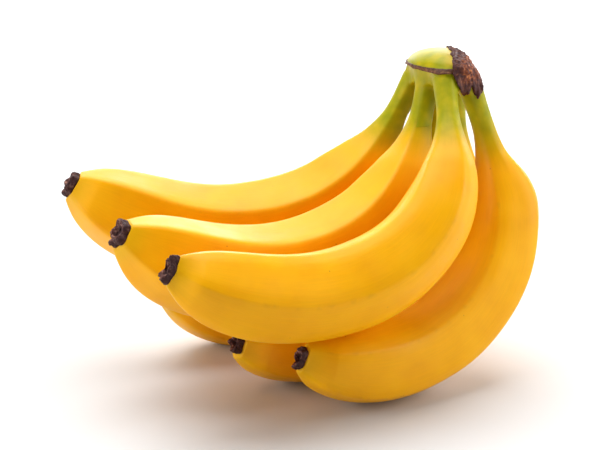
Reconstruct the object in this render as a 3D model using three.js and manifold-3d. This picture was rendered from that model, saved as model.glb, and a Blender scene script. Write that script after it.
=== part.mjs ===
// A bunch of six ripe bananas, lying as it would on a table. Two rows of three fingers hang from one
// crown: the lower row lies on the table on its outer curve, and the upper row rests above it.
// Millimetres, +Z up. The origin is on the table, under the middle of the bunch.

import * as THREE from 'three';
import { mergeVertices } from 'three/addons/utils/BufferGeometryUtils.js';
import Module from 'manifold-3d';

const wasm = await Module();
wasm.setup();
const radians = THREE.MathUtils.degToRad;

// ---- Driving dimensions, in millimetres and degrees ----

// Where the stem of the upper row's middle finger starts, the step from one stem to the next towards
// the front, and the step from a stem of the upper row to the one under it.
const upperMiddleRoot = new THREE.Vector3(57.8, 29.8, 128);
const stepToFront = new THREE.Vector3(5.5, -14.5, 3);
const stepToLowerRow = new THREE.Vector3(11.5, 7, -4.5);

// Each finger: its row (0 is the upper one), its place in it (-1 is the back, 1 the front), the way it
// points seen from above, how steeply its stem dives, how far it curls up from there to its tip, how
// far its stem leans and its tip sways to the front, its length, its girth (a diameter) and where on
// its section the first ridge is.
const fingers = [
  { name: 'upper_back', row: 0, place: -1, heading: 23, dive: 61, curl: 94.5,
    lean: -1, sway: -14, length: 191, girth: 38, ridge: 42 },
  { name: 'upper_middle', row: 0, place: 0, heading: 26, dive: 68, curl: 101.5,
    lean: 16, sway: -4, length: 195, girth: 37.5, ridge: 50 },
  { name: 'upper_front', row: 0, place: 1, heading: 23, dive: 74, curl: 102,
    lean: 40, sway: 0, length: 195, girth: 36, ridge: 76 },
  { name: 'lower_back', row: 1, place: -1, heading: 22, dive: 93, curl: 116.5,
    lean: -20, sway: -2, length: 203, girth: 36.5, ridge: 36 },
  { name: 'lower_middle', row: 1, place: 0, heading: 27, dive: 95.5, curl: 113,
    lean: -4, sway: 7, length: 196, girth: 34, ridge: 36 },
  { name: 'lower_front', row: 1, place: 1, heading: 22, dive: 107, curl: 128.1,
    lean: 11, sway: 13, length: 198, girth: 37, ridge: 36 },
];

// How thick a finger is: a slim stem, a quick flare at the neck, then the body. Each pair is a share
// of the length and a diameter, for a finger of the usual girth.
const usualGirth = 38;
const stemEnd = 0.095;
const bodyStart = 0.226;
const noseStart = 0.58;
const thickness = [
  [0, 10.6], [stemEnd, 10], [0.158, 15.6], [bodyStart, 25.5], [0.326, 32.8], [noseStart, usualGirth],
];

// The nose narrows bluntly to the tip, which sits a little towards the inside of the curl.
const noseBluntness = 5;
const tipDiameter = 13;
const tipShift = 2.5;

// The stem is straight. The finger bends most at its neck, and less and less towards its tip.
const bendStart = 0.14;
const bendFull = 0.24;
const bendLossAtTip = 0.65;
const leanEnd = 0.6; // the share of the length where the lean of the stem has become the tip's sway

// The section has five soft faces with a ridge between each two, and the stem is rounder.
const faces = 5;
const faceHardness = 5;
const meanFaceSpread = 1.044; // how much wider than its faces' circle such a section is on average
const stemAngularity = 0.4;

// The dried flower end on each tip: a short woody stub with a hollow in its end. Each pair is a
// distance from the tip and a radius.
const flowerEnd = [[0.3, 6.1], [1.4, 6.7], [3.4, 6.3], [4.9, 4.9], [4.3, 2.8]];
const flowerEndHollow = 3.2; // where the bottom of the hollow is

// The crown, from under the stems' ends to its domed top. Each row is the height over the middle of
// the stems' ends, half its length along a row of stems, and half its width.
const crownLevels = [[-5, 17.5, 8.5], [0, 20, 10], [5.5, 21.5, 11.5], [8.5, 23, 13], [10, 22, 12], [14, 15, 8]];
const crownTop = 16.5;
const crownShift = -2; // how far the dome's top sits towards the back

const sides = 20; // around a finger
const rings = 32; // along a finger
const crownSides = 28;
const gap = 0.3; // between pieces that touch

// ---- Closed forms built from rings ----

// A closed body through rings of points. Each ring goes anticlockwise seen against the way the rings
// follow each other, and the two ends close on the points given.
function loft(ringList, startPoint, endPoint) {
  const count = ringList[0].length;
  const points = [...ringList.flat(), startPoint, endPoint];
  const startIndex = points.length - 2;
  const endIndex = points.length - 1;
  const lastRing = (ringList.length - 1) * count;
  const indices = [];
  for (let side = 0; side < count; side++) {
    const next = (side + 1) % count;
    for (let ring = 0; ring < lastRing; ring += count) {
      indices.push(ring + side, ring + next, ring + count + next);
      indices.push(ring + side, ring + count + next, ring + count + side);
    }
    indices.push(startIndex, next, side);
    indices.push(endIndex, lastRing + side, lastRing + next);
  }
  const geometry = new THREE.BufferGeometry().setFromPoints(points);
  geometry.setIndex(indices);
  return geometry;
}

function centre(ring) {
  const sum = new THREE.Vector3();
  ring.forEach((point) => sum.add(point));
  return sum.divideScalar(ring.length);
}

// A smooth curve through the given pairs, read at x.
function smoothThrough(pairs, x) {
  const last = pairs.length - 1;
  const slope = (i) => {
    if (i === last) return 0;
    const [before, after] = [pairs[Math.max(i - 1, 0)], pairs[i + 1]];
    return (after[1] - before[1]) / (after[0] - before[0]);
  };
  const right = Math.max(1, pairs.findIndex((pair) => x <= pair[0]));
  const [x0, y0] = pairs[right - 1];
  const [x1, y1] = pairs[right];
  const width = x1 - x0;
  const u = (x - x0) / width;
  const ease = u * u * (3 - 2 * u);
  const startBulge = u * (1 - u) * (1 - u) * width * slope(right - 1);
  const endBulge = u * u * (1 - u) * width * slope(right);
  return y0 + (y1 - y0) * ease + startBulge - endBulge;
}

// ---- The fingers ----

// The share of a finger's curl that lies between its root and t, where t goes from 0 to 1.
function bendShare(t) {
  const body = 1 - bendFull;
  const rise = bendFull - bendStart;
  const bendTo = (distance) => rise / 2 + distance - (bendLossAtTip * distance * distance) / (2 * body);
  const whole = bendTo(body);
  if (t < bendStart) return 0;
  if (t < bendFull) return ((t - bendStart) ** 2 / (2 * rise)) / whole;
  return bendTo(t - bendFull) / whole;
}

// The way a finger runs at t, with the two directions of its section: towards the front, and towards
// the inside of its curl.
function axesAt(finger, t) {
  const heading = radians(finger.heading);
  const pitch = radians(finger.curl * bendShare(t) - finger.dive);
  const settled = THREE.MathUtils.smoothstep(t, 0, leanEnd);
  const lean = radians(THREE.MathUtils.lerp(finger.lean, finger.sway, settled));
  const ahead = new THREE.Vector3(-Math.cos(heading), -Math.sin(heading), 0);
  const across = new THREE.Vector3(Math.sin(heading), -Math.cos(heading), 0);
  const up = new THREE.Vector3(0, 0, 1);
  const forward = ahead.clone().multiplyScalar(Math.cos(pitch)).addScaledVector(up, Math.sin(pitch));
  const inward = ahead.clone().multiplyScalar(-Math.sin(pitch)).addScaledVector(up, Math.cos(pitch));
  const along = forward.clone().multiplyScalar(Math.cos(lean)).addScaledVector(across, Math.sin(lean));
  const frontward = forward.clone().multiplyScalar(-Math.sin(lean)).addScaledVector(across, Math.cos(lean));
  return { along, frontward, inward };
}

function rootOf(finger) {
  return upperMiddleRoot.clone()
    .addScaledVector(stepToFront, finger.place)
    .addScaledVector(stepToLowerRow, finger.row);
}

function noseShare(t) {
  return Math.max(0, (t - noseStart) / (1 - noseStart));
}

// The stem and the tip are as thick on every finger, and the body is as thick as its girth says.
function diameterAt(finger, t) {
  const fullness = 1 - noseShare(t) ** noseBluntness;
  const diameter = t < noseStart
    ? smoothThrough(thickness, t)
    : THREE.MathUtils.lerp(tipDiameter, usualGirth, fullness);
  const bodyShare = THREE.MathUtils.clamp((t - stemEnd) / (bodyStart - stemEnd), 0, 1) * fullness;
  return diameter * THREE.MathUtils.lerp(1, finger.girth / usualGirth, bodyShare);
}

// How far the five-sided section stands out at an angle, around a mean of 1.
function sectionAt(finger, t, angle) {
  let sum = 0;
  for (let face = 0; face < faces; face++) {
    const middle = radians(finger.ridge) + ((face + 0.5) * 2 * Math.PI) / faces;
    sum += Math.max(0, Math.cos(angle - middle)) ** faceHardness;
  }
  const angular = sum ** (-1 / faceHardness) / meanFaceSpread;
  const angularity = THREE.MathUtils.lerp(stemAngularity, 1, THREE.MathUtils.smoothstep(t, 0.05, 0.3));
  return THREE.MathUtils.lerp(1, angular, angularity);
}

function ringAt(finger, position, t, grow) {
  const { frontward, inward } = axesAt(finger, t);
  const middle = position.clone().addScaledVector(inward, tipShift * noseShare(t) ** 2);
  return Array.from({ length: sides }, (_, side) => {
    const angle = radians(finger.ridge) + (side * 2 * Math.PI) / sides;
    const radius = (diameterAt(finger, t) / 2) * sectionAt(finger, t, angle) + grow;
    return middle.clone()
      .addScaledVector(frontward, radius * Math.cos(angle))
      .addScaledVector(inward, radius * Math.sin(angle));
  });
}

// The rings of a finger, closer together towards its tip.
function fingerRings(finger, grow = 0) {
  const stations = Array.from({ length: rings + 1 }, (_, i) => 1 - (1 - i / rings) ** 1.35);
  const position = rootOf(finger);
  const list = [ringAt(finger, position, 0, grow)];
  for (let i = 1; i <= rings; i++) {
    const step = stations[i] - stations[i - 1];
    const { along } = axesAt(finger, stations[i] - step / 2);
    position.addScaledVector(along, step * finger.length);
    list.push(ringAt(finger, position, stations[i], grow));
  }
  return list;
}

function fingerGeometry(finger) {
  const list = fingerRings(finger);
  return loft(list, centre(list[0]), centre(list.at(-1)));
}

// The stub stands on the tip with its rim a little uneven, as a dried flower breaks off.
function flowerEndGeometry(finger) {
  const tip = centre(fingerRings(finger).at(-1));
  const { along, frontward, inward } = axesAt(finger, 1);
  const ringFor = ([distance, radius]) => Array.from({ length: sides / 2 }, (_, side) => {
    const angle = (side * 4 * Math.PI) / sides;
    const uneven = 1 + 0.06 * Math.sin(3 * angle + finger.ridge) + 0.04 * Math.sin(5 * angle);
    return tip.clone()
      .addScaledVector(along, distance)
      .addScaledVector(frontward, radius * uneven * Math.cos(angle))
      .addScaledVector(inward, radius * uneven * Math.sin(angle));
  });
  const base = tip.clone().addScaledVector(along, flowerEnd[0][0]);
  const hollow = tip.clone().addScaledVector(along, flowerEndHollow);
  return loft(flowerEnd.map(ringFor), base, hollow);
}

// ---- The crown ----

// An oval pad over the stems' ends. Its underside follows the slope of the two rows, and its top is
// level.
function crownPad() {
  const middle = upperMiddleRoot.clone().addScaledVector(stepToLowerRow, 0.5);
  const lengthwise = new THREE.Vector3(stepToFront.x, stepToFront.y, 0).normalize();
  const widthwise = new THREE.Vector3(-lengthwise.y, lengthwise.x, 0);
  const lowest = crownLevels[0][0];
  const slopeLengthwise = stepToFront.z / stepToFront.dot(lengthwise);
  const dropDown = stepToLowerRow.z - slopeLengthwise * stepToLowerRow.dot(lengthwise);
  const slopeWidthwise = dropDown / stepToLowerRow.dot(widthwise);
  const ringFor = ([height, halfLength, halfWidth]) => {
    const rise = (height - lowest) / (crownTop - lowest);
    return Array.from({ length: crownSides }, (_, side) => {
      const angle = (side * 2 * Math.PI) / crownSides;
      const forwards = halfLength * Math.cos(angle) + crownShift * rise;
      const sideways = halfWidth * Math.sin(angle);
      const slope = (1 - rise) * (slopeLengthwise * forwards + slopeWidthwise * sideways);
      return middle.clone()
        .addScaledVector(lengthwise, forwards)
        .addScaledVector(widthwise, sideways)
        .add(new THREE.Vector3(0, 0, height + slope));
    });
  };
  const levels = crownLevels.map(ringFor);
  const top = centre(levels.at(-1));
  top.z = middle.z + crownTop;
  return loft(levels, centre(levels[0]), top);
}

function solidFrom(geometry) {
  const bare = geometry.clone();
  bare.deleteAttribute('normal');
  bare.deleteAttribute('uv');
  const merged = mergeVertices(bare);
  return new wasm.Manifold(new wasm.Mesh({
    numProp: 3,
    vertProperties: merged.attributes.position.array,
    triVerts: new Uint32Array(merged.index.array),
  }));
}

function geometryFrom(solid) {
  const mesh = solid.getMesh();
  const geometry = new THREE.BufferGeometry();
  geometry.setAttribute('position', new THREE.BufferAttribute(mesh.vertProperties, 3));
  geometry.setIndex(new THREE.BufferAttribute(mesh.triVerts, 1));
  return geometry;
}

// The part of a stem that reaches into the crown, with the gap around it.
function stemSocket(finger) {
  const list = fingerRings(finger, gap);
  const { along } = axesAt(finger, 0);
  const raised = list[0].map((point) => point.clone().addScaledVector(along, -gap));
  const inside = [raised, ...list.slice(1, 5)];
  return loft(inside, centre(raised), centre(inside.at(-1)));
}

function crownGeometry() {
  const pad = solidFrom(crownPad());
  const withSockets = fingers.reduce((solid, finger) => solid.subtract(solidFrom(stemSocket(finger))), pad);
  return geometryFrom(withSockets);
}

// ---- The bunch ----

const peel = new THREE.MeshStandardMaterial({ color: '#f4bd12', roughness: 0.45, metalness: 0 });
const driedFlower = new THREE.MeshStandardMaterial({ color: '#3c2622', roughness: 0.9, metalness: 0 });
const greenPeel = new THREE.MeshStandardMaterial({ color: '#b3b51c', roughness: 0.5, metalness: 0 });

function named(name, geometry, material) {
  const mesh = new THREE.Mesh(geometry, material);
  mesh.name = name;
  return mesh;
}

const bunch = new THREE.Group();
bunch.add(named('crown', crownGeometry(), greenPeel));
for (const finger of fingers) {
  bunch.add(named(`banana_${finger.name}`, fingerGeometry(finger), peel));
  bunch.add(named(`flower_end_${finger.name}`, flowerEndGeometry(finger), driedFlower));
}

export default bunch;
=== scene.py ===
"""A bunch of six ripe bananas on a pale floor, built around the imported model.

The peels, the dried flower ends and the crown each replace their plain solid. The driving dimensions
repeat the model's own, in millimetres, and each finger is then laid on its node's box.
"""

import math

import bpy
import numpy as np
import openvdb
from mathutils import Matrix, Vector, noise


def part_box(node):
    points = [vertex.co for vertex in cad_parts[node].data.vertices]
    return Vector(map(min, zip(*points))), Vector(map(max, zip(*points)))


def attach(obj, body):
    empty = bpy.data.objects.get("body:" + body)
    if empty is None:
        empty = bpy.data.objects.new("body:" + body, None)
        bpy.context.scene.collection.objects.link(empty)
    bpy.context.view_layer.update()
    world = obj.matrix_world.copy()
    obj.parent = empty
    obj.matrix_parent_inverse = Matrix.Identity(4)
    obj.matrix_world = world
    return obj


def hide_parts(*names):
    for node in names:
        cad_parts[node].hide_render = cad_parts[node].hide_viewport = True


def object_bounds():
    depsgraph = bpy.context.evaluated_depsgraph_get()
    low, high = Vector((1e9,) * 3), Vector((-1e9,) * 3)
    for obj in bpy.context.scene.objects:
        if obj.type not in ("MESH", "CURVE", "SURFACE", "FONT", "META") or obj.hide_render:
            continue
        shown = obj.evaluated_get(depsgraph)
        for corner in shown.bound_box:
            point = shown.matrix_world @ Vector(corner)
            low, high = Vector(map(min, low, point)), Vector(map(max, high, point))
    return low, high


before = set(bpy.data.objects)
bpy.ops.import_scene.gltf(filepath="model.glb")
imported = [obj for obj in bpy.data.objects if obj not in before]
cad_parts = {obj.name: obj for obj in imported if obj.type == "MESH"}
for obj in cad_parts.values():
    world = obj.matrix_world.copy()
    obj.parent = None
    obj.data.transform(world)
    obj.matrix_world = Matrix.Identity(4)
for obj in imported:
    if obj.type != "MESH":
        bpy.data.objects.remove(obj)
cad_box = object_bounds()

MM = 0.001

# ---- Driving dimensions, in millimetres and degrees, as the model has them ----

UPPER_MIDDLE_ROOT = np.array([57.8, 29.8, 128])
STEP_TO_FRONT = np.array([5.5, -14.5, 3])
STEP_TO_LOWER_ROW = np.array([11.5, 7, -4.5])

FINGER_TERMS = ("row", "place", "heading", "dive", "curl", "lean", "sway", "length", "girth", "ridge")
FINGERS = {
    "upper_back": (0, -1, 23, 61, 94.5, -1, -14, 191, 38, 42),
    "upper_middle": (0, 0, 26, 68, 101.5, 16, -4, 195, 37.5, 50),
    "upper_front": (0, 1, 23, 74, 102, 40, 0, 195, 36, 76),
    "lower_back": (1, -1, 22, 93, 116.5, -20, -2, 203, 36.5, 36),
    "lower_middle": (1, 0, 27, 95.5, 113, -4, 7, 196, 34, 36),
    "lower_front": (1, 1, 22, 107, 128.1, 11, 13, 198, 37, 36),
}

# What only the looks need: how sharp the ridges are, how far the shoulder swells (mm), where along the
# finger the green ends, how narrow the tip is, front to back, for its height, how large the dried flower
# is, and how far the nose droops (mm).
LOOK_TERMS = ("sharpness", "shoulder", "green_end", "tip_narrowness", "flower_size", "droop")
LOOKS = {
    "upper_back": (12, 0, 0.235, 0.85, 0.92, 0),
    "upper_middle": (12, 0, 0.215, 1, 0.97, 0),
    "upper_front": (5.5, 0, 0.235, 0.55, 0.98, 0),
    "lower_back": (6, 0, 0.23, 0.9, 0.85, 3),
    "lower_middle": (6, 0, 0.22, 0.8, 0.72, 0),
    "lower_front": (5.5, 2.8, 0.2, 0.5, 0.8, 0),
}

USUAL_GIRTH = 38
STEM_END = 0.095
BODY_START = 0.226
NOSE_START = 0.58
THICKNESS = [
    (0, 10.6), (STEM_END, 10), (0.158, 15.6), (BODY_START, 25.5), (0.326, 32.8), (NOSE_START, USUAL_GIRTH),
]
NOSE_BLUNTNESS = 5
TIP_DIAMETER = 13
TIP_SHIFT = 2.5
BEND_START = 0.14
BEND_FULL = 0.24
BEND_LOSS_AT_TIP = 0.65
LEAN_END = 0.6
FACES = 5
SECTION_SPREAD = 0.22
STEM_ANGULARITY = 0.4

# ---- How fine the meshes are ----

AROUND_FINGER = 120
ALONG_FINGER = 340
TIP_CROWDING = 1.35  # how strongly the stations crowd towards the tip
AROUND_FLOWER_END = 120
ALONG_FLOWER_END = 60
CROWN_VOXEL = 0.45  # mm


# ---- Small helpers ----

def smoothstep(x, low, high):
    u = np.clip((x - low) / (high - low), 0, 1)
    return u * u * (3 - 2 * u)


def mix(a, b, share):
    return a + (b - a) * share


def bump(x, middle, width):
    return np.exp(-((x - middle) / width) ** 2)


def noise_at(points, scale, seed=0):
    """Smooth noise between about -1 and 1 at points in mm, in blobs of about scale mm."""
    shift = Vector((17.3 * seed, -9.1 * seed, 5.7 * seed))
    return np.array([noise.noise(Vector(p) / scale + shift) for p in points])


def through(pairs, x):
    """A smooth curve through the pairs, read at each x. It is level at its last pair."""
    xs = np.array([p[0] for p in pairs], float)
    ys = np.array([p[1] for p in pairs], float)
    before = np.maximum(np.arange(len(xs)) - 1, 0)
    after = np.minimum(np.arange(len(xs)) + 1, len(xs) - 1)
    slopes = (ys[after] - ys[before]) / (xs[after] - xs[before])
    slopes[-1] = 0
    right = np.clip(np.searchsorted(xs, x), 1, len(xs) - 1)
    left = right - 1
    width = xs[right] - xs[left]
    u = (x - xs[left]) / width
    return (
        mix(ys[left], ys[right], u * u * (3 - 2 * u))
        + u * (1 - u) ** 2 * width * slopes[left]
        - u * u * (1 - u) * width * slopes[right]
    )


def mesh_object(name, points, polygons, attributes, material):
    """A smooth-shaded mesh object from points in mm, with one number per point for each attribute."""
    mesh = bpy.data.meshes.new(name)
    mesh.from_pydata((np.asarray(points) * MM).tolist(), [], polygons)
    for attribute, values in attributes.items():
        layer = mesh.attributes.new(attribute, "FLOAT", "POINT")
        layer.data.foreach_set("value", np.asarray(values, np.float32))
    mesh.polygons.foreach_set("use_smooth", [True] * len(mesh.polygons))
    mesh.materials.append(material)
    mesh.update()
    piece = bpy.data.objects.new(name, mesh)
    bpy.context.scene.collection.objects.link(piece)
    return piece


def ring_polygons(rings, count):
    """The quads of a skin of rings of count points, with a fan at each end to the two points after them."""
    start = rings * count
    end = start + 1
    last = (rings - 1) * count
    quads = []
    for ring in range(0, last, count):
        for side in range(count):
            after = (side + 1) % count
            quads.append((ring + side, ring + after, ring + count + after, ring + count + side))
    fans = [(start, (side + 1) % count, side) for side in range(count)]
    fans += [(end, last + side, last + (side + 1) % count) for side in range(count)]
    return quads + fans


# ---- The fingers' form ----

def bend_share(t):
    """The share of a finger's curl that lies between its root and t."""
    body = 1 - BEND_FULL
    rise = BEND_FULL - BEND_START

    def bend_to(distance):
        return rise / 2 + distance - BEND_LOSS_AT_TIP * distance**2 / (2 * body)

    early = (np.clip(t, BEND_START, BEND_FULL) - BEND_START) ** 2 / (2 * rise)
    return np.where(t < BEND_FULL, early, bend_to(t - BEND_FULL)) / bend_to(body)


def axes_at(finger, t):
    """The way a finger runs at each t, and the two directions of its section: frontward and inward."""
    heading = math.radians(finger["heading"])
    pitch = np.radians(finger["curl"] * bend_share(t) - finger["dive"])[:, None]
    settled = smoothstep(t, 0, LEAN_END)
    lean = np.radians(mix(finger["lean"], finger["sway"], settled))[:, None]
    ahead = np.array([-math.cos(heading), -math.sin(heading), 0])
    across = np.array([math.sin(heading), -math.cos(heading), 0])
    up = np.array([0, 0, 1])
    forward = np.cos(pitch) * ahead + np.sin(pitch) * up
    inward = -np.sin(pitch) * ahead + np.cos(pitch) * up
    along = np.cos(lean) * forward + np.sin(lean) * across
    frontward = -np.sin(lean) * forward + np.cos(lean) * across
    return along, frontward, inward


def root_of(finger):
    return UPPER_MIDDLE_ROOT + finger["place"] * STEP_TO_FRONT + finger["row"] * STEP_TO_LOWER_ROW


def nose_share(t):
    return np.clip((t - NOSE_START) / (1 - NOSE_START), 0, 1)


def diameter_at(finger, t):
    fullness = 1 - nose_share(t) ** NOSE_BLUNTNESS
    body = through(THICKNESS, np.minimum(t, NOSE_START))
    diameter = np.where(t < NOSE_START, body, mix(TIP_DIAMETER, USUAL_GIRTH, fullness))
    body_share = np.clip((t - STEM_END) / (BODY_START - STEM_END), 0, 1) * fullness
    return diameter * mix(1, finger["girth"] / USUAL_GIRTH, body_share)


def section_at(finger, t, angle):
    """How far the five-sided section stands out at each angle, around a mean of about 1."""
    sharpness = finger["sharpness"]
    spread = 1 + SECTION_SPREAD / sharpness
    total = 0
    for face in range(FACES):
        middle = math.radians(finger["ridge"]) + (face + 0.5) * 2 * math.pi / FACES
        total = total + np.maximum(0, np.cos(angle - middle)) ** sharpness
    angular = total ** (-1 / sharpness) / spread
    angularity = mix(STEM_ANGULARITY, 1, smoothstep(t, 0.05, 0.3))
    return mix(1, angular, angularity)


def spine_of(finger, count):
    """Stations along a finger, closer together at its tip, with the middle line's point at each."""
    t = 1 - (1 - np.linspace(0, 1, count)) ** TIP_CROWDING
    steps = np.diff(t)
    along, _, _ = axes_at(finger, t[1:] - steps / 2)
    walked = np.cumsum(along * (steps * finger["length"])[:, None], axis=0)
    return t, root_of(finger) + np.vstack([[0, 0, 0], walked])


def finger_grid(finger):
    """Every point of a finger's skin as (station, side), with its t and angle."""
    t, spine = spine_of(finger, ALONG_FINGER)
    _, frontward, inward = axes_at(finger, t)
    middle = spine + inward * (TIP_SHIFT * nose_share(t) ** 2)[:, None]
    angle = math.radians(finger["ridge"]) + np.arange(AROUND_FINGER) * 2 * math.pi / AROUND_FINGER
    t_grid, angle_grid = np.meshgrid(t, angle, indexing="ij")
    radius = diameter_at(finger, t)[:, None] / 2 * section_at(finger, t_grid, angle_grid)
    outward = (
        frontward[:, None, :] * np.cos(angle_grid)[..., None]
        + inward[:, None, :] * np.sin(angle_grid)[..., None]
    )
    return t_grid, angle_grid, middle, radius, outward


# ---- Materials ----

def new_material(name):
    material = bpy.data.materials.new(name)
    material.use_nodes = True
    nodes = material.node_tree.nodes
    return material, nodes, material.node_tree.links, nodes["Principled BSDF"]


def attribute_node(nodes, name):
    node = nodes.new("ShaderNodeAttribute")
    node.attribute_name = name
    return node.outputs["Fac"]


def set_socket(links, socket, value):
    """Links an output to a socket, or sets a plain value on it."""
    if isinstance(value, bpy.types.NodeSocket):
        links.new(value, socket)
    else:
        socket.default_value = value


def product_node(nodes, links, first, second):
    node = nodes.new("ShaderNodeMath")
    node.operation = "MULTIPLY"
    node.use_clamp = True
    set_socket(links, node.inputs[0], first)
    set_socket(links, node.inputs[1], second)
    return node.outputs[0]


def mix_node(nodes, links, share, first, second, blend="MIX"):
    node = nodes.new("ShaderNodeMix")
    node.data_type = "RGBA"
    node.blend_type = blend
    for socket, value in (("Factor", share), ("A", first), ("B", second)):
        set_socket(links, node.inputs[socket], value)
    return node.outputs["Result"]


def noise_node(nodes, links, size, detail=3.0, stretch=(1, 1, 1), vector=None):
    """Noise in blobs of about size mm, stretched along the axes of the vector it reads."""
    mapping = nodes.new("ShaderNodeMapping")
    mapping.inputs["Scale"].default_value = [1 / (MM * size * s) for s in stretch]
    if vector is None:
        vector = nodes.new("ShaderNodeTexCoord").outputs["Object"]
    links.new(vector, mapping.inputs["Vector"])
    node = nodes.new("ShaderNodeTexNoise")
    node.inputs["Scale"].default_value = 1
    node.inputs["Detail"].default_value = detail
    links.new(mapping.outputs["Vector"], node.inputs["Vector"])
    return node.outputs["Fac"]


def ramp_node(nodes, links, value, stops):
    node = nodes.new("ShaderNodeValToRGB")
    elements = node.color_ramp.elements
    while len(elements) < len(stops):
        elements.new(1)
    for element, (position, colour) in zip(elements, stops):
        element.position = position
        element.color = colour
    links.new(value, node.inputs["Fac"])
    return node.outputs["Color"]


def srgb(red, green, blue):
    """A colour given as 0 to 255 on screen, as the shader's own numbers."""
    def linear(value):
        share = value / 255
        return share / 12.92 if share <= 0.04045 else ((share + 0.055) / 1.055) ** 2.4

    return (linear(red), linear(green), linear(blue), 1)


def grey(value):
    return (value, value, value, 1)


def bump_node(nodes, links, height, distance, strength=1.0, below=None):
    node = nodes.new("ShaderNodeBump")
    node.inputs["Distance"].default_value = distance * MM
    node.inputs["Strength"].default_value = strength
    links.new(height, node.inputs["Height"])
    if below is not None:
        links.new(below, node.inputs["Normal"])
    return node.outputs["Normal"]


# Blotches of the ripe peel and of the stems: where on the noise each colour lies, and the colour.
RIPE_BLOTCHES = [(0.3, (0.89, 0.395, 0, 1)), (0.5, (0.93, 0.43, 0, 1)), (0.7, (0.96, 0.46, 0.001, 1))]
STEM_BLOTCHES = [(0.3, (0.3, 0.31, 0.001, 1)), (0.5, (0.37, 0.35, 0.001, 1)), (0.7, (0.48, 0.4, 0.003, 1))]
RIPE_BLOTCH_SIZE = 16
STEM_BLOTCH_SIZE = 6
FRECKLE_SPACING = 5.5
SUBSURFACE_DEPTH = 3


def add_freckles(nodes, links, colour):
    """Small brown freckles on some parts of the peel, few and faint."""
    cells = nodes.new("ShaderNodeTexVoronoi")
    cells.inputs["Scale"].default_value = 1 / (FRECKLE_SPACING * MM)
    links.new(nodes.new("ShaderNodeTexCoord").outputs["Object"], cells.inputs["Vector"])
    spots = ramp_node(nodes, links, cells.outputs["Distance"], [(0.035, grey(1)), (0.075, grey(0))])
    places = ramp_node(nodes, links, noise_node(nodes, links, 20, 1), [(0.55, grey(0)), (0.66, grey(1))])
    share = product_node(nodes, links, product_node(nodes, links, spots, places), 0.55)
    return mix_node(nodes, links, share, colour, srgb(150, 96, 30))


def add_scuffs(nodes, links, colour):
    """The ridges are a little darker in places, as if rubbed."""
    places = ramp_node(nodes, links, noise_node(nodes, links, 4), [(0.5, grey(0)), (0.72, grey(1))])
    scuffs = product_node(nodes, links, attribute_node(nodes, "ridge"), places)
    share = product_node(nodes, links, scuffs, 0.25)
    return mix_node(nodes, links, share, colour, srgb(196, 130, 20))


def peel_material(name):
    """Ripe peel: yellow on the body, green at the stem, with faint fibres, freckles and scuffed ridges."""
    material, nodes, links, shader = new_material(name)
    yellow = ramp_node(nodes, links, noise_node(nodes, links, RIPE_BLOTCH_SIZE), RIPE_BLOTCHES)
    stem = ramp_node(nodes, links, noise_node(nodes, links, STEM_BLOTCH_SIZE), STEM_BLOTCHES)
    colour = mix_node(nodes, links, attribute_node(nodes, "green"), yellow, stem)

    # Faint fibres along the finger. Their vector is in mm, so their size of 1 mm is given as 1 / MM.
    fibre_vector = nodes.new("ShaderNodeCombineXYZ")
    links.new(attribute_node(nodes, "along_mm"), fibre_vector.inputs["X"])
    links.new(attribute_node(nodes, "around_mm"), fibre_vector.inputs["Y"])
    fibres = noise_node(nodes, links, 1 / MM, 4, (14, 0.7, 1), fibre_vector.outputs["Vector"])
    fibre_tint = ramp_node(nodes, links, fibres, [(0.35, grey(0.93)), (0.65, grey(1.0))])
    colour = mix_node(nodes, links, 0.6, colour, fibre_tint, "MULTIPLY")
    colour = add_freckles(nodes, links, colour)
    colour = add_scuffs(nodes, links, colour)
    links.new(colour, shader.inputs["Base Color"])

    roughness = ramp_node(nodes, links, noise_node(nodes, links, 9), [(0.3, grey(0.36)), (0.7, grey(0.48))])
    links.new(roughness, shader.inputs["Roughness"])
    shader.inputs["Specular IOR Level"].default_value = 0.17
    shader.inputs["Subsurface Weight"].default_value = 0.18
    shader.inputs["Subsurface Radius"].default_value = (1.0, 0.55, 0.08)
    shader.inputs["Subsurface Scale"].default_value = SUBSURFACE_DEPTH * MM
    fine = bump_node(nodes, links, noise_node(nodes, links, 0.8, 2), 0.03, 0.5)
    waves = bump_node(nodes, links, fibres, 0.12, 0.5, fine)
    links.new(waves, shader.inputs["Normal"])
    return material


def dried_material(name, dark, middle, light):
    """Dead plant tissue: dark, rough and streaked, lighter where it is torn."""
    material, nodes, links, shader = new_material(name)
    torn = attribute_node(nodes, "torn")
    coarse = noise_node(nodes, links, 1.6, 6)
    base = ramp_node(nodes, links, coarse, [(0.32, dark), (0.55, middle), (0.75, light)])
    darker = mix_node(nodes, links, torn, mix_node(nodes, links, 0.75, base, dark), base)
    links.new(darker, shader.inputs["Base Color"])
    shader.inputs["Roughness"].default_value = 0.6
    shader.inputs["Specular IOR Level"].default_value = 0.25
    grain = bump_node(nodes, links, noise_node(nodes, links, 0.7, 5), 0.35, 0.8)
    links.new(grain, shader.inputs["Normal"])
    return material


# ---- The fingers ----

RELIEF_START = 0.12  # where along the finger the peel's relief begins
RELIEF_FULL = 0.3  # and where it is full
RIDGE_WIDTH = 0.055  # as a share of a face
CREST_HEIGHT = 0.3  # how far a ridge stands out
SWELL_SIZE = 26
SWELL_HEIGHT = 0.45
NECK_AT = 0.165
SHOULDER_AT = 0.265
GREEN_FADE = 0.135  # how long the green takes to fade, as a share of the finger
TIP_GREEN = 0.22
TIP_START = 0.95
DROOP_FROM = 0.5
DROOP_TO = 0.8
USUAL_RADIUS = 18


def lay_on(points, node):
    """The move, in mm, that puts the middle of the points' box on the middle of the node's."""
    low, high = (np.array(corner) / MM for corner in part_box(node))
    return (low + high) / 2 - (points.min(0) + points.max(0)) / 2


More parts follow.
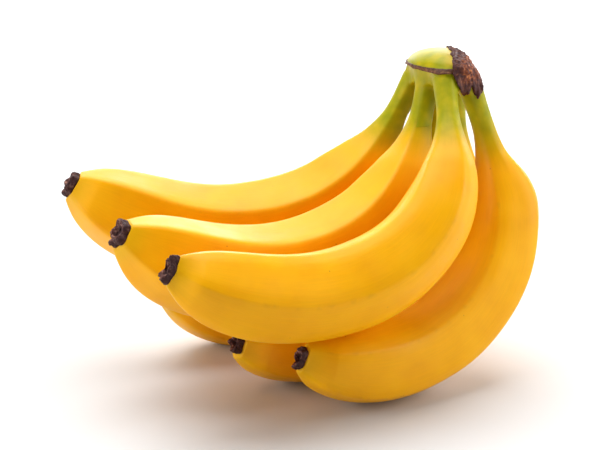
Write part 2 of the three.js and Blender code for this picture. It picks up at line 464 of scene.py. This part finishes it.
def ridge_share(finger, angle):
    """1 on a ridge and 0 on the faces between."""
    face = 2 * math.pi / FACES
    from_ridge = (angle - math.radians(finger["ridge"])) % face / face
    return bump(np.minimum(from_ridge, 1 - from_ridge), 0, RIDGE_WIDTH)


def shoulder_at(finger, t, angle):
    """How far the outer side stands out where the stem widens, with a narrower neck before it."""
    outside = np.maximum(0, -np.sin(angle)) ** 1.5
    profile = 0.45 * bump(t, SHOULDER_AT, 0.04) - bump(t, NECK_AT, 0.045)
    return finger["shoulder"] * outside * profile


def narrowed(finger, t, offset):
    """The offsets from the middle line, made narrower front to back towards the tip."""
    frontward = axes_at(finger, t[:, 0])[1][:, None, :]
    share = (1 - finger["tip_narrowness"]) * smoothstep(t, TIP_START, 1)
    return offset - frontward * ((offset * frontward).sum(2) * share)[..., None]


def green_at(finger, t, swell):
    """How green the peel is: at the stem, and a little at the tip."""
    end = finger["green_end"]
    stem = 1 - smoothstep(t + 0.02 * swell, end - GREEN_FADE, end)
    return np.maximum(stem, TIP_GREEN * smoothstep(t, 0.955, 0.995))


def peel(name, finger, material):
    """Makes a banana's peel and returns the move that laid it on its node."""
    t, angle, middle, radius, outward = finger_grid(finger)
    plain = (middle[:, None, :] + outward * radius[..., None]).reshape(-1, 3)
    move = lay_on(plain, "banana_" + name)
    body = smoothstep(t, RELIEF_START, RELIEF_FULL) * (1 - smoothstep(t, TIP_START, 1))
    ridge = ridge_share(finger, angle)
    swell = noise_at(plain, SWELL_SIZE, finger["place"] + 3 * finger["row"]).reshape(radius.shape)
    relief = CREST_HEIGHT * ridge * body + SWELL_HEIGHT * swell * body + shoulder_at(finger, t, angle)
    offset = narrowed(finger, t, outward * (radius + relief)[..., None])
    points = (middle[:, None, :] + offset).reshape(-1, 3) + move
    points[:, 2] -= finger["droop"] * smoothstep(t, DROOP_FROM, DROOP_TO).ravel()
    points[:, 2] = np.maximum(points[:, 2], 0)
    ends = [points[:AROUND_FINGER].mean(0), points[-AROUND_FINGER:].mean(0)]
    no_ends = [0, 0]
    t_all = np.append(t.ravel(), [0, 1])
    piece = mesh_object(
        "peel_" + name,
        np.vstack([points, ends]),
        ring_polygons(ALONG_FINGER, AROUND_FINGER),
        {
            "green": green_at(finger, t_all, np.append(swell.ravel(), no_ends)),
            "ridge": np.append((ridge * body).ravel(), no_ends),
            "along_mm": t_all * finger["length"],
            "around_mm": np.append((angle * USUAL_RADIUS).ravel(), no_ends),
        },
        material,
    )
    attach(piece, "root")
    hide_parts("banana_" + name)
    return move


# ---- The dried flower ends ----

# How far out from the tip, and how wide, from its foot over its rim into its hollow.
FLOWER_END = [
    (0, 5.8), (0.8, 6.1), (1.8, 6), (2.8, 5.7), (3.6, 5.1), (3.7, 4.3), (2.8, 3.4), (1.6, 2.4), (0.8, 1),
]
FLOWER_FOOT = 0.3  # how far its foot reaches back into the peel's tip
FLOWER_CENTRE = 2  # how far out its middle lies
FLOWER_CORNER = 0.09
FLOWER_RAGGEDNESS = 0.45


def flower_rings(finger, tip, along, frontward, inward, stations, seed):
    """Rings of points around a flower end, with a corner at each ridge and an uneven rim."""
    profile = np.array(FLOWER_END)
    places = np.linspace(0, 1, len(profile))
    distance = np.interp(stations, places, profile[:, 0])
    radius = np.interp(stations, places, profile[:, 1]) * finger["flower_size"]
    angle = np.arange(AROUND_FLOWER_END) * 2 * math.pi / AROUND_FLOWER_END
    corners = np.cos(FACES * (angle - math.radians(finger["ridge"])))
    lobes = 1 + FLOWER_CORNER * corners + 0.04 * np.sin(3 * angle + seed)
    rim = FLOWER_RAGGEDNESS * (np.sin(2 * angle + 1.7 * seed) + corners)
    across = finger["tip_narrowness"] * frontward * np.cos(angle)[:, None]
    offset = (across + inward * np.sin(angle)[:, None]) * lobes[:, None]
    on_rim = smoothstep(stations, 0.15, 0.5) * (1 - smoothstep(stations, 0.75, 1))
    rings = []
    for level, width, share in zip(distance, radius, on_rim):
        out = level + rim * share - FLOWER_FOOT
        rings.append(tip + along * out[:, None] + offset * width)
    return np.vstack(rings)


def flower_end(name, finger, move, material, seed):
    t, spine = spine_of(finger, ALONG_FINGER)
    along, frontward, inward = (axis[-1] for axis in axes_at(finger, t[-2:]))
    tip = spine[-1] + inward * TIP_SHIFT + move - [0, 0, finger["droop"]]
    stations = np.linspace(0, 1, ALONG_FLOWER_END)
    points = flower_rings(finger, tip, along, frontward, inward, stations, seed)
    away = points - (tip + along * FLOWER_CENTRE)
    away /= np.linalg.norm(away, axis=1)[:, None]
    rough = 0.32 * noise_at(points, 2.4, seed) + 0.35 * noise_at(points, 1.0, seed + 5)
    rough = rough + 0.25 * noise_at(points, 0.5, seed)
    free = np.repeat(smoothstep(stations, 0.02, 0.15), AROUND_FLOWER_END)
    points = points + away * (rough * free)[:, None]
    ends = [points[:AROUND_FLOWER_END].mean(0), points[-AROUND_FLOWER_END:].mean(0)]
    in_hollow = smoothstep(stations, 0.5, 0.62) * (1 - smoothstep(stations, 0.72, 0.9))
    piece = mesh_object(
        "dried_flower_" + name,
        np.vstack([points, ends]),
        ring_polygons(ALONG_FLOWER_END, AROUND_FLOWER_END),
        {"torn": np.append(np.repeat(in_hollow, AROUND_FLOWER_END), [0, 0])},
        material,
    )
    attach(piece, "root")
    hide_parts("flower_end_" + name)


# ---- The crown ----

CROWN_MIDDLE = UPPER_MIDDLE_ROOT + STEP_TO_LOWER_ROW / 2
LENGTHWISE = np.array([*STEP_TO_FRONT[:2], 0]) / np.hypot(*STEP_TO_FRONT[:2])
WIDTHWISE = np.array([-LENGTHWISE[1], LENGTHWISE[0], 0])
CROWN_HALF_LENGTH = 22  # of the oval pad over the stems' ends
CROWN_HALF_WIDTH = 13.5
RIM_HEIGHT = 8.7  # of the dome's rim over the crown's middle
RIM_SLOPE = 0.08  # towards the front
DOME_RISE = 6.4
DOME_FOOT = 0.8  # how far the dome reaches down past its rim
DOME_SCALE = 8  # turns the dome's oval measure, which is 1 on its surface, into roughly mm
CORE_SCALE = 11  # the same for the core, the solid tissue under the rim
CORE_INSET = 0.6  # how far inside the dome the core starts
CORE_TAPER = 0.16  # how much further inside it lies for each mm down
CORE_BASE = -2.5  # the height of its lower end, at the crown's middle
CORE_BASE_RISE = 0.16  # for each mm forwards
CORE_BASE_FALL = 0.28  # for each mm sideways
LIP_DEPTH = 1.9  # how far the dried lip reaches down from the rim
LIP_RISE = 0.2  # and up
DRIED_FROM = 2.8  # where the dried end starts, to the right of the crown's middle
DRIED_DOWN_TO = 2.2  # its lower edge over the crown's middle
STEM_REACH = 7  # how far the stems go on into the crown
STEM_TOP = 1.5  # how far under the rim they end
STEM_TOP_BLEND = 2.0  # and how softly
SLANT_FROM = 21.5  # how far right and up, together, the crown's slanted right side lies
STEM_BLEND = 4.0  # how softly the stems run into each other
PAD_BLEND = 3.5  # and into the crown
DOME_BLEND = 0.8  # how softly the dome meets the core
SLANT_BLEND = 4.0  # how softly the slanted side meets the rest
SKIN_COVER = 0.12  # how far inside the peels' surfaces the crown's stems lie
LIP_THICKNESS = 0.3
DRIED_THICKNESS = 0.9
CROWN_BOX = (CROWN_MIDDLE + [-24, -28, -16], CROWN_MIDDLE + [26, 30, 18])


def smooth_least(a, b, blend):
    """The lesser of two fields, rounded over blend where they meet."""
    h = np.clip(0.5 + 0.5 * (b - a) / blend, 0, 1)
    return b + (a - b) * h - blend * h * (1 - h)


def stem_field(points, finger):
    """About how far points are outside a finger's straight stem."""
    along, frontward, inward = (axis[0] for axis in axes_at(finger, np.zeros(1)))
    offset = points - root_of(finger)
    distance = offset @ along
    side_front = offset @ frontward
    side_in = offset @ inward
    t = np.clip(distance / finger["length"], 0, 0.16)
    angle = np.arctan2(side_in, side_front)
    radius = diameter_at(finger, t) / 2 * section_at(finger, t, angle)
    beside = np.hypot(side_front, side_in) - radius
    return np.maximum(beside, -distance - STEM_REACH)


def crown_coordinates(points):
    """Points as forwards, sideways and height from the crown's middle."""
    offset = points - CROWN_MIDDLE
    return offset @ LENGTHWISE, offset @ WIDTHWISE, offset[..., 2]


def over_rim(points):
    forwards, _, height = crown_coordinates(points)
    return height - RIM_HEIGHT - RIM_SLOPE * forwards


def dome_field(points):
    """The crown's domed top, an oval cushion that ends at its rim."""
    forwards, sideways, _ = crown_coordinates(points)
    over = over_rim(points)
    up = np.maximum(over, 0) / DOME_RISE
    oval = np.sqrt((forwards / CROWN_HALF_LENGTH) ** 2 + (sideways / CROWN_HALF_WIDTH) ** 2 + up**2)
    return np.maximum((oval - 1) * DOME_SCALE, -over - DOME_FOOT)


def core_field(points):
    """The solid tissue under the rim, narrower downwards, that the stems grow from."""
    forwards, sideways, height = crown_coordinates(points)
    down = np.clip(-over_rim(points), 0, 12)
    narrowing = CORE_INSET + CORE_TAPER * down
    base = CORE_BASE + CORE_BASE_RISE * forwards - CORE_BASE_FALL * sideways
    oval = np.sqrt(
        (forwards / (CROWN_HALF_LENGTH - narrowing)) ** 2 + (sideways / (CROWN_HALF_WIDTH - narrowing)) ** 2
    )
    return np.maximum((oval - 1) * CORE_SCALE, np.maximum(over_rim(points), base - height))


def crown_field(points, fingers):
    """The whole crown: the stems under the rim, the pad over them and the slanted cut at its right."""
    stems = None
    for finger in fingers.values():
        field = stem_field(points, finger)
        stems = field if stems is None else smooth_least(stems, field, STEM_BLEND)
    stems = -smooth_least(-stems, -over_rim(points) - STEM_TOP, STEM_TOP_BLEND)
    offset = points - CROWN_MIDDLE
    slanted = (offset[..., 0] + offset[..., 2] - SLANT_FROM) / math.sqrt(2)
    pad = smooth_least(core_field(points), dome_field(points), DOME_BLEND)
    whole = smooth_least(stems + SKIN_COVER, pad, PAD_BLEND)
    return -smooth_least(-whole, -slanted, SLANT_BLEND)


def ragged(points, size):
    """An uneven amount between about -1 and 1 that changes over about size mm."""
    x, y, z = (points / size).T
    waves = np.sin(2.3 * x + 1.7 * np.sin(1.3 * y)) + np.sin(2.9 * y + 1.3 * z + 0.8 * np.sin(1.9 * x))
    return (waves + 0.7 * np.sin(3.7 * z + 2.1 * x - 1.1 * y)) / 2.7


def lip_field(points, fingers):
    """The thin dried skin round the rim."""
    over = over_rim(points)
    over_top = over - LIP_RISE - 0.1 * ragged(points, 3)
    under_edge = -LIP_DEPTH - over - 0.3 * ragged(points, 4)
    return np.maximum(crown_field(points, fingers) - LIP_THICKNESS, np.maximum(over_top, under_edge))


# The strips that hang from the dried end: how far to the right and back of the crown's middle each one
# hangs, half its width and how far down it reaches.
STRIPS = [
    (8.2, -19, 3.2, 7.5), (14, -14, 3, 10.5), (15.5, 2, 3.5, 5), (11, 14, 3.5, 6.5), (5, 22, 3, 4),
]


def dried_field(points, fingers):
    """The torn, dried end: everything right of a ragged line, down to a ragged edge with hanging strips."""
    offset = points - CROWN_MIDDLE
    reach = DRIED_DOWN_TO + 0.9 * ragged(points, 5)
    for right, back, width, length in STRIPS:
        from_strip = np.hypot(offset[..., 0] - right, (offset[..., 1] - back) * 0.6)
        reach = reach - length * np.clip(1 - from_strip / width, 0, 1) ** 0.8
    right_of = DRIED_FROM + 0.5 * ragged(points, 4) - offset[..., 0]
    slant = 0.45 * np.maximum(-offset[..., 2] + RIM_HEIGHT, 0)
    region = np.maximum(right_of + slant, reach - offset[..., 2])
    return np.maximum(crown_field(points, fingers) - DRIED_THICKNESS, region)


def surface_of(field, low, high):
    """The mesh where a field over a box of points in mm is zero: points and polygons."""
    counts = np.ceil((high - low) / CROWN_VOXEL).astype(int)
    axes = [low[i] + CROWN_VOXEL * np.arange(counts[i]) for i in range(3)]
    grid_points = np.stack(np.meshgrid(*axes, indexing="ij"), -1)
    values = field(grid_points.reshape(-1, 3)).reshape(counts)
    grid = openvdb.FloatGrid(10.0)
    grid.copyFromArray(values.astype(np.float32))
    points, triangles, quads = grid.convertToPolygons(0.0, 0.0)
    polygons = [tuple(p[::-1]) for p in triangles.tolist() + quads.tolist()]
    return points * CROWN_VOXEL + low, polygons


def displace(piece, amounts):
    """Moves each point of a piece out along its normal, by an amount in mm."""
    mesh = piece.data
    count = len(mesh.vertices)
    points = np.zeros(count * 3)
    normals = np.zeros(count * 3)
    mesh.vertices.foreach_get("co", points)
    mesh.vertex_normals.foreach_get("vector", normals)
    moved = points.reshape(-1, 3) + normals.reshape(-1, 3) * amounts[:, None] * MM
    mesh.vertices.foreach_set("co", moved.ravel())
    mesh.update()


def crown_piece(name, field, attributes_of, material, fingers):
    points, polygons = surface_of(lambda p: field(p, fingers), *CROWN_BOX)
    piece = mesh_object(name, points, polygons, attributes_of(points), material)
    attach(piece, "root")
    return piece, points


def crown_skin(fingers, material):
    def attributes_of(points):
        right = smoothstep(points[:, 0] - CROWN_MIDDLE[0], -3, 3)
        return {
            "green": 1 - 0.28 * right * smoothstep(over_rim(points), 0, 3),
            "ridge": np.zeros(len(points)),
            "along_mm": points[:, 2],
            "around_mm": points[:, 0] + points[:, 1],
        }

    piece, _ = crown_piece("crown_skin", crown_field, attributes_of, material, fingers)
    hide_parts("crown")


def crown_lip(fingers, material):
    def attributes_of(points):
        return {"torn": bump(over_rim(points), -LIP_DEPTH * 0.55, LIP_DEPTH * 0.33)}

    piece, points = crown_piece("crown_dried_lip", lip_field, attributes_of, material, fingers)
    displace(piece, 0.18 * noise_at(points, 1.5, 3))


def crown_dried_end(fingers, material):
    def attributes_of(points):
        offset = points - CROWN_MIDDLE
        right = smoothstep(offset[:, 0] - DRIED_FROM, 2.5, 5.5)
        raised = smoothstep(offset[:, 2] - DRIED_DOWN_TO, 0, 4)
        return {"torn": right * raised * (1 - smoothstep(over_rim(points), 2, 5))}

    piece, points = crown_piece("crown_dried_end", dried_field, attributes_of, material, fingers)
    streaks = noise_at(points * [1, 1, 0.22], 1.5, 4)
    lumps = noise_at(points, 5, 6)
    grain = noise_at(points, 1.0, 9)
    displace(piece, 0.75 * streaks + 0.6 * lumps + 0.3 * grain)


# ---- The studio ----

CAMERA_ELEVATION = 17
CAMERA_DISTANCE = 0.85
CAMERA_LENS = 116.9
AIM_FROM_MIDDLE = Vector((0.74, 4.76, -2.4)) * MM  # from the middle of the bunch
FLOOR_HALF_SIZE = 6


def make_camera():
    low, high = cad_box
    aim = (low + high) / 2 + AIM_FROM_MIDDLE
    elevation = math.radians(CAMERA_ELEVATION)
    back = Vector((0, -math.cos(elevation), math.sin(elevation)))
    data = bpy.data.cameras.new("camera")
    data.lens = CAMERA_LENS
    data.sensor_width = 36
    camera = bpy.data.objects.new("camera", data)
    camera.location = aim + back * CAMERA_DISTANCE
    camera.rotation_mode = "QUATERNION"
    camera.rotation_quaternion = (-back).to_track_quat("-Z", "Y")
    bpy.context.scene.collection.objects.link(camera)
    bpy.context.scene.camera = camera


def make_floor():
    size = FLOOR_HALF_SIZE
    corners = [(-size, -size, 0), (size, -size, 0), (size, size, 0), (-size, size, 0)]
    mesh = bpy.data.meshes.new("floor")
    mesh.from_pydata(corners, [], [(0, 1, 2, 3)])
    material, nodes, links, shader = new_material("floor_white")
    tone = ramp_node(nodes, links, noise_node(nodes, links, 300), [(0, grey(0.61)), (1, grey(0.63))])
    links.new(tone, shader.inputs["Base Color"])
    shader.inputs["Roughness"].default_value = 0.7
    shader.inputs["Specular IOR Level"].default_value = 0.1
    mesh.materials.append(material)
    floor = bpy.data.objects.new("floor", mesh)
    bpy.context.scene.collection.objects.link(floor)


def add_light(data, place, way):
    """Puts a lamp at a place, in metres, shining along a way."""
    light = bpy.data.objects.new(data.name, data)
    light.location = place
    light.rotation_mode = "QUATERNION"
    light.rotation_quaternion = Vector(way).to_track_quat("-Z", "Y")
    bpy.context.scene.collection.objects.link(light)


def area_light(name, place, target, size, power):
    data = bpy.data.lights.new(name, "AREA")
    data.shape = "RECTANGLE"
    data.size, data.size_y = size
    data.energy = power
    add_light(data, place, Vector(target) - Vector(place))


def sky_light():
    """A wide, soft light from above and a little behind."""
    data = bpy.data.lights.new("sky", "SUN")
    data.energy = 4
    data.angle = math.radians(60)
    add_light(data, (0, 0, 0), (0.12, -0.3, -1))


def make_lights():
    world = bpy.data.worlds.new("world")
    bpy.context.scene.world = world
    world.use_nodes = True
    background = world.node_tree.nodes["Background"]
    background.inputs["Color"].default_value = grey(1)
    background.inputs["Strength"].default_value = 0.12
    sky_light()
    area_light("left", (-1.05, -0.2, 0.32), (0, 0, 0.06), (0.7, 0.6), 6.5)
    area_light("right", (0.95, -0.05, 0.42), (0, 0, 0.08), (0.7, 0.7), 7)
    area_light("back", (0.15, 1.1, 0.36), (0, 0, 0.08), (1.8, 0.5), 13)
    bpy.context.scene.view_settings.view_transform = "Standard"
    bpy.context.scene.view_settings.look = "None"


# ---- The bunch ----

def build():
    terms = FINGER_TERMS + LOOK_TERMS
    fingers = {name: dict(zip(terms, FINGERS[name] + LOOKS[name])) for name in FINGERS}
    peel_look = peel_material("ripe_peel")
    flower_look = dried_material("dried_flower", srgb(50, 24, 26), srgb(96, 54, 46), srgb(200, 150, 130))
    lip_look = dried_material("dried_lip", srgb(66, 34, 24), srgb(120, 78, 48), srgb(168, 120, 76))
    end_look = dried_material("dried_end", srgb(58, 34, 38), srgb(126, 64, 36), srgb(222, 140, 80))
    for seed, (name, finger) in enumerate(fingers.items(), start=1):
        move = peel(name, finger, peel_look)
        flower_end(name, finger, move, flower_look, seed)
    crown_skin(fingers, peel_look)
    crown_lip(fingers, lip_look)
    crown_dried_end(fingers, end_look)


make_camera()
make_floor()
make_lights()
build()
